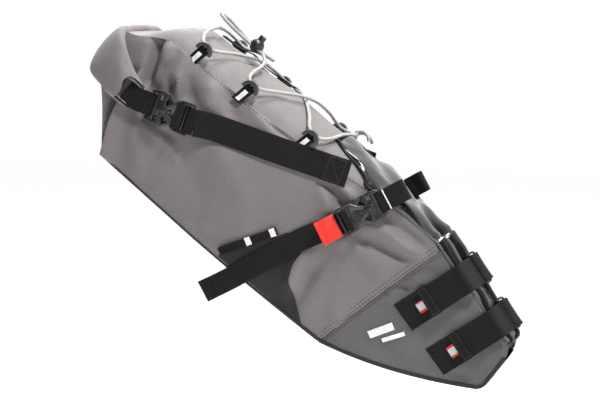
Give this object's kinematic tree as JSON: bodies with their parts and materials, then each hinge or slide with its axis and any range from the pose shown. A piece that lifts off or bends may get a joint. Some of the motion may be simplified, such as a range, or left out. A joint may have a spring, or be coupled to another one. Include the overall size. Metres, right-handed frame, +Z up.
{
  "type": "bicycle saddle bag",
  "caption": "Roll-top saddle bag that hangs behind a seatpost on two hook-and-loop straps and two saddle rail straps, with a shock cord lacing on top.",
  "frame": {"origin": "centre of the seatpost groove, on the axis of the seatpost, midway between the two seatpost straps", "axes": "+X forward along the bicycle, towards the nose of the bag; +Y to the left of the bicycle; +Z up; the bag rises 40 degrees towards its rear, as it hangs"},
  "size_m": [0.4915, 0.2, 0.4189],
  "materials": {
    "fabric_grey": "coated grey dobby-weave fabric",
    "fabric_charcoal": "charcoal coated base fabric",
    "coated_black": "glossy black coated fabric",
    "stiffener": "black plastic sheet",
    "patch_black": "black reinforcement fabric",
    "shock_cord": "light grey braided shock cord with dark flecks",
    "spring_steel": "spring steel",
    "red_tab": "red webbing and label tape",
    "plastic_black": "moulded black plastic",
    "webbing": "black ribbed webbing"
  },
  "bodies": {
    "root": {"side_panel_right": "fabric_grey", "side_panel_left": "fabric_grey", "nose_panel_right": "fabric_grey", "nose_panel_left": "fabric_grey", "base_panel": "fabric_charcoal", "collar": "fabric_grey", "top_panel_rear": "fabric_grey", "top_panel_front": "coated_black", "seatpost_channel": "coated_black", "base_stiffener": "stiffener", "wear_patch_right": "patch_black", "wear_patch_left": "patch_black", "haul_webbing": "webbing", "daisy_webbing_right": "webbing", "daisy_webbing_left": "webbing", "roll_plug_right": "plastic_black", "roll_plug_left": "plastic_black", "roll_strap_right": "webbing", "roll_strap_left": "webbing", "rail_strap_right": "webbing", "rail_strap_left": "webbing", "rail_socket_right": "plastic_black", "rail_socket_left": "plastic_black", "rail_loop_right": "webbing", "rail_loop_left": "webbing", "hook_tabs": "webbing", "cord_hooks": "plastic_black", "shock_cord": "shock_cord", "cord_knot": "shock_cord", "cord_lock_body": "plastic_black", "cord_lock_spring": "spring_steel", "loop_pad_upper": "patch_black", "loop_pad_lower": "patch_black"},
    "roll": {"roll_top": "fabric_grey", "roll_stiffener": "stiffener", "roll_end_webbing_right": "webbing", "roll_end_webbing_left": "webbing", "roll_socket_right": "plastic_black", "roll_socket_left": "plastic_black"},
    "rail_release_right": {"rail_plug_right": "plastic_black", "pull_tab_right": "red_tab"},
    "rail_release_left": {"rail_plug_left": "plastic_black", "pull_tab_left": "red_tab"},
    "strap_upper": {"seatpost_strap_upper": "webbing", "strap_label_upper": "red_tab", "strap_ring_upper": "plastic_black"},
    "strap_lower": {"seatpost_strap_lower": "webbing", "strap_label_lower": "red_tab", "strap_ring_lower": "plastic_black"},
    "lock_button": {"cord_lock_button": "plastic_black"}
  },
  "joints": [
    {"name": "roll_release", "type": "slide", "parent": "root", "child": "roll", "axis": [-0.9336, 0, 0.3584], "range_m": [0, 0.06], "deforming": ["collar"]},
    {"name": "rail_buckle_right", "type": "slide", "parent": "root", "child": "rail_release_right", "axis": [-0.8308, -0.3125, -0.4605], "range_m": [0, 0.03], "deforming": ["rail_strap_right"]},
    {"name": "rail_buckle_left", "type": "slide", "parent": "root", "child": "rail_release_left", "axis": [-0.8308, 0.3125, -0.4605], "range_m": [0, 0.03], "deforming": ["rail_strap_left"]},
    {"name": "strap_upper_open", "type": "hinge", "parent": "root", "child": "strap_upper", "pos_m": [-0.03721, 0.04786, 0.00867], "axis": [-0.5592, 0, 0.829], "range_deg": [0, 100]},
    {"name": "strap_lower_open", "type": "hinge", "parent": "root", "child": "strap_lower", "pos_m": [-0.0031, 0.04022, -0.0419], "axis": [-0.5592, 0, 0.829], "range_deg": [0, 100]},
    {"name": "lock_press", "type": "slide", "parent": "root", "child": "lock_button", "axis": [-0.6428, 0, -0.766], "range_m": [0, 0.004], "stiffness_N_per_m": 250, "springref_m": -0.003, "deforming": ["cord_lock_spring"]}
  ]
}
